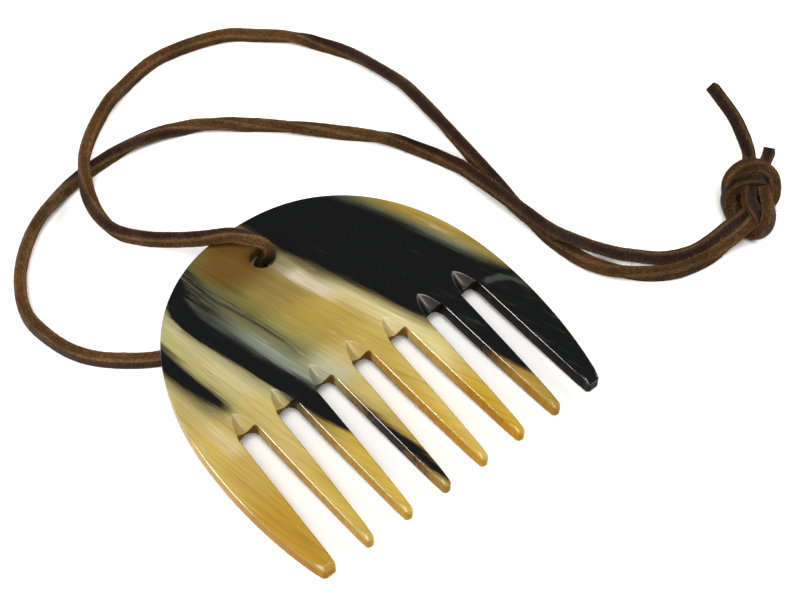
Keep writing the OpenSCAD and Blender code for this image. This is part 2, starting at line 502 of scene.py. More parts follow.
# ---------------------------------------------------------------- horn
def horn_material():
    m = Nodes("horn")
    # x, y and z are the plate's own millimetres
    place = m.node("Mapping")
    back = Matrix.Rotation(-TILT, 3, "X") @ Vector(SHIFT)
    for name, value in (
        ("Vector", m.node("TexCoord").outputs["Object"]), ("Scale", (1 / MM,) * 3),
        ("Rotation", (-TILT, 0, 0)), ("Location", -back),
    ):
        m.put(place.inputs[name], value)
    x, y, z = m.split(place.outputs[0])
    # q is constant along the fibres, which lean to the right towards the tips
    lean = m.math("MINIMUM", m.add(0.335, m.mul(x, 0.0045)), 0.385)
    q0 = m.add(x, m.mul(lean, y))
    wide = m.noise(m.vec(m.mul(q0, 0.06), m.mul(y, 0.035), m.mul(z, 0.05)), 1.0, 2.0)
    hair = m.noise(m.vec(m.mul(q0, 0.9), m.mul(y, 0.06), m.mul(z, 0.25)), 1.0, 3.0, 0.65)
    thread = m.noise(m.vec(m.mul(q0, 3.2), m.mul(y, 0.11), m.mul(z, 0.4)), 1.0, 3.0, 0.7)
    stray = m.add(m.mul(m.sub(wide, 0.5), 1.6), m.mul(m.sub(hair, 0.5), 2.2))
    stray = m.add(stray, m.mul(m.sub(thread, 0.5), 1.8))
    q = m.add(q0, m.mul(stray, 0.8))
    xs = m.add(x, stray)

    upper = m.ramp(q, -40, 46, [
        (-30, (0.40, 0.34, 0.13)), (-24, (0.42, 0.38, 0.15)), (-21, (0.45, 0.40, 0.20)),
        (-18.5, (0.22, 0.20, 0.11)),
        (-14, (0.045, 0.050, 0.042)), (-12, (0.100, 0.112, 0.085)), (-10.5, (0.150, 0.158, 0.090)),
        (-8.5, (0.140, 0.136, 0.062)), (-6.2, (0.120, 0.116, 0.050)), (-3.9, (0.175, 0.155, 0.045)),
        (-0.5, (0.250, 0.190, 0.050)), (6.5, (0.262, 0.182, 0.048)), (9, (0.290, 0.215, 0.066)),
        (11, (0.400, 0.340, 0.210)), (13, (0.330, 0.280, 0.135)), (15, (0.160, 0.125, 0.050)),
        (17, (0.05, 0.04, 0.018)),
        (36.5, (0.011, 0.013, 0.012)), (38.2, (0.034, 0.037, 0.034)), (39.8, (0.094, 0.092, 0.045)),
        (41.5, (0.240, 0.180, 0.042)), (43, (0.35, 0.235, 0.036)), (46, (0.42, 0.30, 0.09)),
    ])
    middle = m.ramp(q, -40, 46, [
        (-40, (0.46, 0.34, 0.10)), (-36.5, (0.475, 0.37, 0.135)), (-34, (0.46, 0.37, 0.14)),
        (-31.5, (0.20, 0.15, 0.06)),
        (-28, (0.30, 0.255, 0.10)), (-24.5, (0.46, 0.40, 0.16)), (-22, (0.53, 0.47, 0.225)),
        (-19.8, (0.40, 0.35, 0.175)),
        (-17, (0.15, 0.13, 0.06)), (-13.4, (0.050, 0.056, 0.050)), (-11.8, (0.165, 0.188, 0.155)),
        (-10.2, (0.245, 0.270, 0.180)), (-8.1, (0.165, 0.158, 0.088)), (-6.5, (0.155, 0.145, 0.060)),
        (-4.9, (0.22, 0.20, 0.067)), (-2.8, (0.30, 0.255, 0.07)), (0, (0.345, 0.265, 0.06)),
        (3, (0.375, 0.263, 0.055)),
        (6, (0.42, 0.30, 0.07)), (9, (0.40, 0.285, 0.055)), (11.8, (0.57, 0.48, 0.20)),
        (14.3, (0.57, 0.51, 0.245)),
        (16.4, (0.21, 0.165, 0.064)), (18, (0.05, 0.04, 0.02)), (37.5, (0.03, 0.035, 0.033)),
        (39, (0.09, 0.10, 0.078)),
        (40.4, (0.20, 0.185, 0.09)), (42, (0.29, 0.21, 0.05)), (43.4, (0.34, 0.215, 0.034)),
        (45, (0.44, 0.35, 0.16)),
    ])
    lower = m.ramp(q, -40, 46, [
        (-40, (0.53, 0.385, 0.10)), (-37.3, (0.51, 0.36, 0.075)), (-35.3, (0.58, 0.455, 0.22)),
        (-33.3, (0.56, 0.44, 0.17)),
        (-31.5, (0.46, 0.34, 0.095)), (-27, (0.45, 0.36, 0.12)), (-23, (0.545, 0.43, 0.13)),
        (-21, (0.51, 0.415, 0.145)),
        (-18, (0.30, 0.25, 0.10)), (-13.5, (0.05, 0.06, 0.05)), (-12.4, (0.11, 0.13, 0.105)),
        (-11.4, (0.24, 0.27, 0.19)),
        (-10.4, (0.225, 0.24, 0.14)), (-8, (0.36, 0.34, 0.20)), (-6.3, (0.45, 0.42, 0.26)),
        (-4.8, (0.476, 0.42, 0.234)),
        (-3, (0.48, 0.39, 0.17)), (-1, (0.47, 0.36, 0.12)), (3.5, (0.46, 0.316, 0.075)),
        (6, (0.455, 0.33, 0.07)),
        (9, (0.50, 0.38, 0.11)), (12, (0.60, 0.50, 0.22)), (14, (0.65, 0.57, 0.29)),
        (15.2, (0.46, 0.38, 0.16)),
        (16.5, (0.20, 0.157, 0.066)), (18, (0.05, 0.04, 0.02)), (37, (0.015, 0.015, 0.012)),
        (38.5, (0.035, 0.036, 0.025)),
        (40, (0.124, 0.106, 0.034)), (41.5, (0.25, 0.195, 0.043)), (44, (0.35, 0.25, 0.05)),
    ])
    colour = m.mix(m.step(y, 26.0, 16.0), upper, middle)
    colour = m.mix(m.step(y, 11.0, 3.5), colour, lower)
    # each tooth turns from its root colour to its own tip colour
    root = m.ramp(x, -42, 42, [
        (-42, (0.53, 0.365, 0.09)), (-38, (0.475, 0.312, 0.068)), (-33, (0.49, 0.35, 0.09)),
        (-28.5, (0.45, 0.31, 0.08)),
        (-26, (0.54, 0.40, 0.14)), (-23, (0.53, 0.41, 0.13)), (-18.5, (0.30, 0.22, 0.06)),
        (-13, (0.34, 0.24, 0.05)),
        (-8.5, (0.30, 0.21, 0.07)), (-6.3, (0.44, 0.345, 0.11)), (-3.5, (0.54, 0.42, 0.13)),
        (1.5, (0.42, 0.28, 0.044)),
        (6.5, (0.54, 0.385, 0.10)), (11.5, (0.44, 0.31, 0.07)), (14, (0.68, 0.59, 0.245)),
        (16.5, (0.57, 0.47, 0.175)),
        (21.5, (0.12, 0.09, 0.04)), (28, (0.12, 0.10, 0.05)), (31.5, (0.03, 0.028, 0.018)),
        (33, (0.012, 0.012, 0.011)),
    ])
    tip = m.ramp(x, -42, 42, [
        (-42, (0.45, 0.265, 0.035)), (-36, (0.432, 0.243, 0.026)), (-33, (0.46, 0.28, 0.038)),
        (-27, (0.56, 0.40, 0.10)),
        (-24, (0.50, 0.345, 0.06)), (-18, (0.49, 0.35, 0.08)), (-14, (0.55, 0.375, 0.06)),
        (-8, (0.27, 0.18, 0.045)),
        (-4, (0.42, 0.30, 0.07)), (2, (0.47, 0.28, 0.035)), (4, (0.55, 0.34, 0.045)), (6, (0.60, 0.43, 0.12)),
        (12, (0.41, 0.25, 0.024)), (14, (0.50, 0.295, 0.018)), (16, (0.52, 0.35, 0.05)),
        (22, (0.30, 0.20, 0.05)),
        (24, (0.41, 0.255, 0.044)), (27, (0.28, 0.18, 0.045)), (31.5, (0.05, 0.045, 0.03)),
        (33, (0.012, 0.012, 0.011)),
    ])
    uneven = m.add(y, m.mul(m.sub(wide, 0.5), 7.0))
    colour = m.mix(m.step(uneven, -0.5, -5.0), colour, root)
    colour = m.mix(m.step(uneven, -6.0, -20.0), colour, tip)
    # a dark warm-brown patch left of the hole, and a dusky top
    dusk = m.mul(m.step(y, 27.0, 34.0), m.mul(m.step(q, -7.0, -2.0), m.step(q, 15.0, 12.0)))
    colour = m.tint(dusk, colour, (0.60, 0.56, 0.50))
    px = m.mul(m.add(x, 6.5), 0.10)
    py = m.mul(m.sub(y, 39.0), 0.14)
    near = m.math("SQRT", m.add(m.mul(px, px), m.mul(py, py)))
    near = m.add(near, m.mul(m.sub(wide, 0.5), 0.8))
    colour = m.mix(m.step(near, 1.1, 0.5, 0.0, 0.85), colour, (0.135, 0.070, 0.012))

    # fibre lines, light and dark, and pale wisps
    lines = m.noise(m.vec(m.mul(q0, 2.4), m.mul(y, 0.05), m.mul(z, 0.4)), 1.0, 4.0, 0.65)
    broad = m.noise(m.vec(m.mul(q0, 0.8), m.mul(y, 0.05), 7.0), 1.0, 3.0, 0.6)
    colour = m.tint(m.step(lines, 0.48, 0.70, 0.0, 0.34), colour, (1.30, 1.34, 1.5))
    colour = m.tint(m.step(broad, 0.50, 0.30, 0.0, 0.40), colour, (0.66, 0.60, 0.46))
    fine = m.noise(m.vec(m.mul(q0, 4.5), m.mul(y, 0.09), m.mul(z, 0.3)), 1.0, 3.0, 0.6)
    colour = m.mix(1.0, colour, m.step(fine, 0.34, 0.66, 0.89, 1.11), "MULTIPLY")
    pale = m.noise(m.vec(m.mul(q0, 0.42), m.mul(y, 0.07), 11.0), 1.0, 4.0, 0.7)
    body = m.mul(m.step(y, -4.0, 4.0), m.step(y, 34.0, 26.0))
    colour = m.mix(m.mul(m.step(pale, 0.56, 0.74, 0.0, 0.42), body), colour, (0.58, 0.53, 0.36))
    flash = m.mul(m.step(y, 30.0, 27.0), m.step(y, 14.0, 21.0))
    flash = m.mul(m.mul(m.step(q, 9.0, 10.6), m.step(q, 14.2, 12.2)), flash)
    colour = m.mix(m.mul(flash, m.step(hair, 0.35, 0.6, 0.45, 0.85)), colour, (0.66, 0.58, 0.42))
    # dusky streaks above the second black band, running down into one thin dark line
    streaky = m.noise(m.vec(m.mul(q0, 1.3), m.mul(y, 0.05), 5.0), 1.0, 4.0, 0.7)
    zone = m.mul(m.step(y, 22.0, 33.0), m.mul(m.step(x, -24.0, -20.0), m.step(xs, -14.5, -17.0)))
    colour = m.mix(m.mul(zone, m.step(streaky, 0.62, 0.44, 0.45, 1.0)), colour, (0.016, 0.016, 0.012))
    for keys, half, strength in (
        (((42, -20.0), (33, -16.4), (30, -15.2), (20, -12.1), (15, -10.8), (6, -9.6)), 0.55, 0.85),
        (((42, -18.2), (36, -16.0), (30, -13.9), (22, -11.6), (14, -9.6), (6, -8.4)), 0.35, 0.45),
        (((42, -23.0), (33, -19.6), (25, -17.0), (14, -13.2), (6, -11.3)), 0.30, 0.35),
    ):
        away = m.math("ABSOLUTE", m.sub(m.add(x, m.mul(m.sub(thread, 0.5), 1.1)), m.curve(y, keys)))
        shown = m.mul(m.step(y, 7.0, 17.0, 0.0, strength), m.step(hair, 0.25, 0.5, 0.4, 1.0))
        line = m.mul(m.step(away, half, 0.1), shown)
        colour = m.mix(line, colour, (0.035, 0.034, 0.022))

    # black horn: each band lies between two edges that wander down the plate
    frayed = m.add(xs, m.mul(m.mul(m.sub(streaky, 0.5), 9.0), m.step(y, 24.0, 33.0)))

    def between(low, high, soft_low, soft_high, out=0.0, right=xs):
        a = m.step(m.sub(xs, m.curve(y, low)), -soft_low - out, soft_low - out)
        b = m.step(m.sub(right, m.curve(y, high)), soft_high + out, -soft_high + out)
        return m.mul(a, b)

    wedge = ((31, -34.0), (27, -35.6), (23, -35.4), (18, -34.5), (13, -33.0), (8, -30.9), (5, -29.5))
    wedge_right = ((31, -32.6), (27, -32.1), (23, -31.7), (18, -31.0), (13, -30.3), (8, -30.1), (5, -30.2))
    second = (
        (40, -25.0), (38, -25.7), (35, -26.6), (30, -26.4), (27, -25.4), (20, -23.4), (15, -21.9),
        (10, -20.4), (5, -19.1),
        (0, -18.2), (-5, -16.7), (-10, -14.5), (-15, -11.8),
    )
    second_right = (
        (42, -18.5), (38, -19.6), (34, -21.3), (30, -21.3), (25, -19.9), (20, -18.4), (15, -16.8),
        (10, -15.2), (5, -13.8), (0, -12.6),
        (-5, -11.8), (-14, -11.6),
    )
    streak = (
        (0, -9.3), (-10, -8.7), (-15, -8.0), (-20, -7.3), (-25, -6.4), (-30, -5.6), (-33, -4.7), (-35, -4.1),
    )
    streak_right = (
        (0, -8.6), (-10, -7.4), (-15, -6.5), (-20, -5.5), (-25, -4.3), (-30, -3.9), (-33, -4.0), (-35, -4.2),
    )
    main = (
        (47, 0.3), (38, 3.0), (35, 3.4), (30, 5.6), (25, 8.1), (20, 10.1), (15, 11.8), (10, 13.4),
        (5, 15.4), (1, 17.0),
        (-2, 20.5), (-8, 22.0), (-12, 22.6), (-18, 23.9), (-22, 25.2), (-26, 27.0), (-28, 29.0), (-35, 29.5),
    )
    main_right = (
        (47, 17.5), (43, 19.5), (40, 21.8), (35, 24.8), (30, 27.4), (25, 29.4), (20, 31.0), (15, 32.7),
        (10, 34.7),
        (5, 36.8), (0, 39.6), (-5, 44.0), (-35, 60.0),
    )
    teeth = m.step(y, -0.5, -3.0)
    low_teeth = m.step(y, -6.0, -11.0)
    black = m.mul(between(wedge, wedge_right, 0.9, 0.5), m.step(y, 6.0, 10.0))
    black = m.most(black, between(second, second_right, 0.55, 0.9, right=frayed))
    black = m.most(black, between(main, main_right, 0.65, 1.3))
    black = m.most(black, m.mul(between(streak, streak_right, 0.3, 0.5), low_teeth))
    fringe = m.mul(between(wedge, wedge_right, 1.4, 0.6, 0.8), m.step(y, 3.0, 9.0, 0.0, 0.8))
    brown = between(second, second_right, 0.8, 0.8, 0.5, frayed)
    brown = m.most(brown, between(main, main_right, 1.3, 1.2, 0.7))
    brown = m.most(brown, m.mul(between(streak, streak_right, 0.5, 0.9, 0.5), teeth))
    brown = m.most(m.mul(brown, m.step(y, 5.0, -8.0, 0.25, 1.0)), fringe)
    colour = m.mix(brown, colour, m.mix(m.step(y, 4.0, -5.0), (0.085, 0.066, 0.030), (0.13, 0.068, 0.015)))
    wisp = m.noise(m.vec(m.mul(q0, 0.75), m.mul(y, 0.09), 2.0), 1.0, 5.0, 0.7)
    low_right = m.mul(m.step(y, 6.0, -2.0), m.step(x, 20.0, 24.0))
    veil = m.add(m.step(wisp, 0.58, 0.80, 0.0, 0.45), m.mul(low_right, m.step(wisp, 0.52, 0.74, 0.0, 0.45)))
    arc_x, arc_y = m.sub(x, 33.6), m.mul(m.add(y, 7.5), 0.95)
    arc = m.math("SQRT", m.add(m.mul(arc_x, arc_x), m.mul(arc_y, arc_y)))
    arc = m.math("ABSOLUTE", m.sub(m.add(arc, m.mul(m.sub(hair, 0.5), 2.5)), 6.6))
    arc = m.mul(m.step(arc, 1.3, 0.1, 0.0, 1.4), m.step(x, 33.0, 35.0))
    veil = m.add(veil, m.mul(arc, m.step(y, -10.0, -4.0)))
    dark = m.mix(veil, (0.0060, 0.0062, 0.0064), (0.048, 0.051, 0.043))
    wall = m.attribute("wall")
    shallow = m.mul(wall, m.step(x, -12.0, -16.0, 0.0, 0.7))
    colour = m.mix(m.mul(black, m.sub(1.0, shallow)), colour, dark)
    # side walls are tinted golden as painted shade with the glow of light through the thin horn, the steep
    # left filed facets get painted shade and the right ones a faint painted light, and the notch creases and
    # rims get a painted highlight
    sawn_shade = m.attribute("sawn_shade")
    colour = m.tint(m.mul(wall, 0.9), colour, (1.0, 0.77, 0.31))
    facet = m.attribute("facet")
    # painted shade on the steep left facets, and a faint painted light on the right facets
    colour = m.tint(m.step(facet, -0.05, -0.6, 0.0, 0.42), colour, (0.42, 0.36, 0.28))
    colour = m.mix(m.step(facet, 0.05, 0.6, 0.0, 0.06), colour, (0.50, 0.44, 0.30))
    # painted highlight along the notch creases and rims
    colour = m.mix(m.mul(m.attribute("ridge_highlight"), 0.27), colour, (0.80, 0.74, 0.58))
    # painted shade on the sawn ends of the gaps, and painted shade with some dirt in the bore
    colour = m.tint(m.mul(sawn_shade, 0.85), colour, (0.34, 0.21, 0.07))
    scratch = m.noise(m.vec(m.mul(x, 1.6), m.mul(y, 0.25), z), 1.0, 4.0, 0.7)
    filed = m.math("ABSOLUTE", facet)
    dull = m.most(m.most(wall, sawn_shade), m.mul(filed, 0.6))
    worn = m.add(m.mul(lines, 0.7), m.noise(m.vec(m.mul(x, 0.5), m.mul(y, 0.3), z), 1.0, 2.0))
    m.surface({
        "Base Color": m.scaled(colour, HORN_TONE),
        "Roughness": m.add(m.step(scratch, 0.3, 0.75, 0.10, 0.19), m.mul(filed, 0.22)),
        "IOR": m.step(dull, 0.0, 0.8, POLISHED_IOR, DULL_IOR),
        "Subsurface Weight": 0.10,
        "Subsurface Radius": (1.0, 0.55, 0.2),
        "Subsurface Scale": 0.0012,
        "Normal": m.bump(worn, 0.05, 0.0002),
    })
    return m.mat


# ---------------------------------------------------------------- leather
def leather_material(name, grain):
    m = Nodes(name)
    along, around = (m.mul(v, UV_MM) for v in m.split(m.node("UVMap").outputs[0])[:2])
    tone = m.attribute("tone")
    edge = m.attribute("edge")
    where = m.node("TexCoord").outputs["Object"]
    big = m.noise(where, 140.0, 3.0)
    patch = m.step(big, 0.35, 0.65, 0.78, 1.22)
    if grain:
        wrinkle = m.noise(m.vec(m.mul(along, 2.2), m.mul(around, 0.7), 0.0), 1.0, 4.0, 0.65)
        pores = m.noise(m.vec(along, around, 4.0), 4.5, 3.0, 0.6)
        colour = m.ramp(m.add(m.mul(wrinkle, 0.6), m.mul(pores, 0.4)), 0.34, 0.68, [
            (0.36, (0.006, 0.003, 0.002)), (0.46, (0.017, 0.008, 0.005)), (0.54, (0.030, 0.013, 0.008)),
            (0.64, (0.070, 0.030, 0.020)),
        ])
        colour = m.mix(m.mul(edge, m.step(pores, 0.46, 0.62, 0.0, 0.7)), colour, (0.16, 0.085, 0.035))
        height = m.add(m.mul(wrinkle, 1.0), m.mul(pores, 0.35))
        rough, specular = m.step(pores, 0.3, 0.7, 0.36, 0.55), 0.05
        strength, depth = 0.7, 0.00030
    else:
        fibre = m.noise(m.vec(m.mul(along, 0.8), m.mul(around, 2.8), 0.0), 1.0, 5.0, 0.75)
        nap = m.noise(m.vec(along, around, 9.0), 3.6, 4.0, 0.75)
        mixed = m.add(m.mul(fibre, 0.5), m.mul(nap, 0.5))
        colour = m.ramp(mixed, 0.34, 0.68, [
            (0.34, (0.016, 0.009, 0.004)), (0.43, (0.045, 0.023, 0.009)), (0.50, (0.082, 0.041, 0.015)),
            (0.58, (0.135, 0.068, 0.025)), (0.68, (0.25, 0.15, 0.07)),
        ])
        warm = m.noise(where, 420.0, 2.0)
        colour = m.tint(m.step(warm, 0.5, 0.68, 0.0, 0.55), colour, (1.45, 0.92, 0.72))
        colour = m.tint(m.step(warm, 0.48, 0.32, 0.0, 0.45), colour, (0.72, 0.86, 0.80))
        colour = m.mix(m.mul(edge, m.step(nap, 0.42, 0.60, 0.05, 0.75)), colour, (0.22, 0.125, 0.048))
        height = m.add(m.mul(fibre, 0.8), nap)
        rough, specular = 0.95, 0.04
        strength, depth = 1.0, 0.00045
    m.surface({
        "Base Color": m.scaled(colour, m.mul(m.mul(tone, patch), LEATHER_TONE)),
        "Roughness": rough,
        "Specular IOR Level": specular,
        "Normal": m.bump(height, strength, depth),
    })
    return m.mat


def fibre_material():
    m = Nodes("leather_fibre")
    colour = m.ramp(m.attribute("tone"), 0.6, 1.5, [
        (0.6, (0.05, 0.028, 0.012)), (1.0, (0.13, 0.075, 0.03)), (1.5, (0.26, 0.16, 0.07)),
    ])
    m.surface({"Base Color": colour, "Roughness": 0.9, "Specular IOR Level": 0.2})
    return m.mat


# ---------------------------------------------------------------- lace, in millimetres
SIDE = 2.8
UV_MM = 10.0
HOLE_ROW_Y = 30.2
HOLE_SQUEEZE = 0.87
LEATHER_TONE = 0.66
CORNER = 0.42
KNOT = (97.6, -25.6)
KNOT_TURN = math.radians(50)
FRONT = [
    (-1.0, 30.0, 6.3), (0.2, 29.5, 7.8), (1.0, 29.5, 9.4), (0.6, 31.0, 10.4), (-1.2, 33.8, 10.9),
    (-4, 37.2, 11.2), (-9.5, 41, 10.7),
    (-14, 45.5, 9.6), (-18, 51.5, 7.6), (-21.5, 58.5, 6.2), (-22, 66, 5.3), (-20.5, 73.5, 4.8),
    (-18, 79.5, 4.6), (-15, 85, 4.6), (-10.5, 90, 4.4), (-5, 95, 3.6), (1.5, 100, 2.6), (10, 104, 1.8),
    (20, 106, 1.5), (37, 102, 1.5), (44, 96, 1.5), (50.5, 89.5, 1.5), (55.5, 81, 1.5), (58.5, 73.5, 1.5),
    (60.5, 64.5, 1.5), (61.5, 57, 1.5), (61, 48, 1.5), (60, 37.5, 1.5), (57.5, 16.5, 1.5), (56, 6.5, 1.5),
    (56.5, -9, 1.5), (58, -15.5, 1.5), (61, -21, 1.5), (66, -26, 1.5), (72, -29.5, 1.5),
    (78.5, -31, 1.7), (84, -31.5, 2.5), (89, -31.5, 3.6), (92.5, -31, 4.2),
]
BACK = [
    (-1.0, 30.0, 6.3), (-1.7, 30.1, 4.6), (-3.3, 29.7, 2.5), (-7, 28.4, 1.7), (-15.5, 25, 1.5),
    (-25, 23.5, 1.5),
    (-32.5, 25.5, 1.5), (-42, 33, 1.5), (-46, 38.5, 1.5), (-48.5, 46.5, 1.5), (-49, 55, 1.5), (-45, 65, 1.5),
    (-38.5, 73, 1.5), (-32, 78, 1.5), (-24, 81.5, 1.5), (-14.5, 84, 1.5), (-6.5, 84.5, 1.5), (1.5, 84, 1.5),
    (9.5, 81.5, 1.5), (16.5, 77.5, 1.5), (23.5, 71.5, 1.5), (36, 58.5, 1.5), (41.5, 52, 1.5), (47, 45, 1.5),
    (50.5, 37.5, 1.5), (53.5, 29.5, 2), (54, 19.5, 3.8), (55, 3, 4.7), (56, -4.5, 4.7), (58.5, -10, 4.2),
    (62, -14.5, 2.8), (66.5, -19.5, 1.7), (71, -24.5, 1.6), (77, -27.5, 1.8), (83.5, -28.5, 2.6),
    (88.5, -28.5, 3.4), (91, -29, 4.3), (94, -29, 4.7),
]
# direction that the smooth grain side faces, from a point of the route on
FRONT_GRAIN = {
    0: (0.9, -0.4, 0.2), 1: (0.9, -0.4, 0), 2: (1, -0.2, 0.4), 4: (0.1, 0.25, 1), 6: (0, 0.05, 1),
    8: (-0.05, 0, 1),
    10: (-0.6, 0, 0.8), 12: (-1, 0.1, 0.15), 15: (-0.8, 0.7, 0.1), 18: (-0.1, 1, 0.15), 20: (0.3, 0.9, 0.35),
    22: (-0.2, -0.2, 1), 23: (-0.6, -0.3, 0.8), 26: (-0.6, -0.3, 0.75), 27: (-0.2, -0.1, 1),
    28: (0.2, 0, 0.6),
    30: (0.8, 0, -0.2), 32: (0.6, -0.6, -0.3), 38: (0.6, 0.6, -0.3),
}
BACK_GRAIN = {
    0: (0, -1, 0), 5: (0, -1, 0), 6: (-0.2, -1, 0), 8: (-1, -0.4, 0.05),
    10: (-1, 0.4, 0.1), 12: (-0.7, 0.6, 0.3), 13: (-0.5, 0.6, 0.6), 15: (-0.1, -0.1, 1),
    17: (-0.3, -0.9, 0.45), 19: (-0.3, -0.4, -0.8), 20: (0.4, 0.2, -0.9), 21: (0.8, 0.5, -0.1),
    22: (0.7, 0.5, 0.5), 23: (0.2, 0.2, 1),
    26: (-0.2, -0.1, 1), 28: (-0.4, -0.45, 0.8), 31: (-0.45, -0.65, 0.65), 37: (-0.35, -0.6, 0.75),
}
# each strand through the doubled overhand knot: place, and the way the grain faces, in the knot's directions
KNOT_FRONT = [
    ((-5.0, -1.2, 4.1), (0.6, 0.5, -0.4)), ((-2.7, -3.7, 4.4), (0.6, 0.6, -0.4)), ((-1.2, -5.1, 5.6),
    (0.9, 0.1, -0.3)),
    ((0.7, -5.5, 7.3), (1, 0.1, -0.1)), ((2.9, -5.0, 8.9), (1, 0.1, 0)), ((4.4, -3.1, 9.9), (1, 0.1, -0.1)),
    ((4.8, -0.2, 10.1), (1, 0, -0.2)), ((4.0, 2.5, 9.4), (1, 0, -0.2)), ((2.7, 4.3, 7.6), (1, 0.1, 0)),
    ((1.3, 4.6, 5.4), (1, 0.2, 0)), ((0.0, 4.0, 3.2), (0.9, 0.3, -0.2)), ((-2.2, 2.4, 1.7),
    (0.6, -0.4, -0.5)),
    ((-4.6, 0.6, 1.5), (-0.3, -0.3, -0.9)), ((-6.6, -1.2, 2.0), (-0.8, -0.4, -0.6)), ((-7.1, -1.7, 3.8),
    (-0.9, -0.5, 0)),
    ((-6.3, -0.9, 5.8), (-0.7, -0.4, 0.6)), ((-4.6, 0.6, 7.1), (-0.2, -0.5, 0.8)), ((-1.7, 0.5, 7.3),
    (0.1, -0.5, 0.8)),
    ((2.1, -0.3, 6.2), (0.3, -0.3, 0.9)), ((5.5, -0.6, 6.6), (-0.2, 0.3, 0.9)),
]
KNOT_BACK = [
    ((-2.6, -2.0, 4.2), (0.2, -0.2, 0.9)), ((0.2, -4.4, 3.9), (0.6, -0.4, 0.6)), ((2.2, -5.6, 4.9),
    (0.3, -0.9, 0.3)),
    ((2.5, -5.1, 6.6), (0.4, -0.8, 0.5)), ((2.0, -3.4, 7.8), (0.3, -0.3, 0.9)), ((1.3, -0.1, 8.5),
    (0.3, 0, 1)),
    ((0.9, 2.7, 7.6), (0.3, 0.5, 0.9)), ((0.0, 4.4, 6.2), (0.3, 0.8, 0.5)), ((-1.1, 5.0, 4.6), (0.1, 1, 0.3)),
    ((-2.5, 4.5, 2.8), (0, 0.8, -0.5)), ((-4.8, 3.4, 1.6), (-0.1, 0.3, -0.9)), ((-7.4, 1.6, 1.5),
    (-0.4, 0.2, -0.9)),
    ((-9.1, -0.4, 1.7), (-0.9, 0, -0.5)), ((-9.2, -2.4, 3.0), (-1, -0.3, -0.1)), ((-7.9, -3.6, 5.2),
    (-0.6, -0.9, 0)),
    ((-5.6, -3.6, 6.9), (-0.2, -1, 0)), ((-2.1, -3.2, 7.3), (0, -1, 0.1)), ((1.9, -3.4, 6.2), (0, -0.9, 0.4)),
    ((5.0, -3.6, 6.2), (-0.3, -0.3, 0.9)),
]
TAIL_LONG = [(102, -20.5, 7.8), (104.5, -18.5, 8), (108.5, -11.5, 8.8), (110, -8, 9.1), (112.4, 1.6, 10)]
TAIL_SHORT = [(104.5, -22.6, 6.2), (107.5, -21.4, 6.6), (109.8, -20.1, 7)]


def from_knot(p, place=True):
    c, s = math.cos(KNOT_TURN), math.sin(KNOT_TURN)
    v = Vector((c * p[0] - s * p[1], s * p[0] + c * p[1], p[2]))
    return v + Vector((KNOT[0], KNOT[1], 0)) if place else v


def knot_route(strand):
    """One strand's points and grain directions through the knot."""
    return [tuple(from_knot(p)) for p, _ in strand], [tuple(from_knot(w, False)) for _, w in strand]


def catmull(points, step=0.5):
    """A smooth line through the points: samples a step apart, and each one's place in the list."""
    p = [Vector(v) for v in points]
    p = [2 * p[0] - p[1]] + p + [2 * p[-1] - p[-2]]
    dense, index = [], []
    for i in range(1, len(p) - 2):
        a, b, c, d = p[i - 1], p[i], p[i + 1], p[i + 2]
        t0 = 0.0
        t1 = t0 + max((b - a).length, 1e-6) ** 0.5
        t2 = t1 + max((c - b).length, 1e-6) ** 0.5
        t3 = t2 + max((d - c).length, 1e-6) ** 0.5
        n = 40
        for k in range(n):
            t = t1 + (t2 - t1) * k / n
            a1 = a * ((t1 - t) / (t1 - t0)) + b * ((t - t0) / (t1 - t0))
            a2 = b * ((t2 - t) / (t2 - t1)) + c * ((t - t1) / (t2 - t1))
            a3 = c * ((t3 - t) / (t3 - t2)) + d * ((t - t2) / (t3 - t2))
            b1 = a1 * ((t2 - t) / (t2 - t0)) + a2 * ((t - t0) / (t2 - t0))
            b2 = a2 * ((t3 - t) / (t3 - t1)) + a3 * ((t - t1) / (t3 - t1))
            dense.append(b1 * ((t2 - t) / (t2 - t1)) + b2 * ((t - t1) / (t2 - t1)))
            index.append(i - 1 + k / n)
    dense.append(p[-2])
    index.append(float(len(points) - 1))
    out, where = [dense[0]], [0.0]
    left = step
    for i in range(1, len(dense)):
        a, b = dense[i - 1], dense[i]
        gap = (b - a).length
        pos = 0.0
        while gap - pos >= left:
            pos += left
            f = pos / gap
            out.append(a.lerp(b, f))
            where.append(index[i - 1] + (index[i] - index[i - 1]) * f)
            left = step
        left -= gap - pos
    if (out[-1] - dense[-1]).length > step * 0.4:
        out.append(dense[-1])
        where.append(index[-1])
    return blurred(out, 6, 2), where


def blurred(values, passes, weight):
    """The list with each value averaged with its neighbours; its ends stay."""
    for _ in range(passes):
        inner = [
            (values[i - 1] + weight * values[i] + values[i + 1]) / (2 + weight)
            for i in range(1, len(values) - 1)
        ]
        values = [values[0]] + inner + [values[-1]]
    return values


def keyed(keys, at):
    order = sorted(keys)
    if at <= order[0]:
        return keys[order[0]]
    for a, b in zip(order[:-1], order[1:]):
        if at <= b:
            t = (at - a) / (b - a)
            t = t * t * (3 - 2 * t)
            va, vb = keys[a], keys[b]
            if isinstance(va, (int, float)):
                return va + (vb - va) * t
            return Vector(va).normalized().lerp(Vector(vb).normalized(), t)
    return keys[order[-1]]


def section():
    """The rounded square, as (across, up) points; the grain side is the one that faces up."""
    h, r = SIDE / 2, CORNER
    pts = []
    for k, (cx, cy) in enumerate(((h - r, h - r), (-h + r, h - r), (-h + r, -h + r), (h - r, -h + r))):
        for i in range(4):
            a = math.pi / 2 * k + math.pi / 2 * i / 3
            pts.append((cx + r * math.cos(a), cy + r * math.sin(a)))
        nx, ny = (-1, 0) if k == 0 else (0, -1) if k == 1 else (1, 0) if k == 2 else (0, 1)
        run = SIDE - 2 * r
        last = pts[-1]
        for i in range(1, 4):
            pts.append((last[0] + nx * run * i / 4, last[1] + ny * run * i / 4))
    return pts


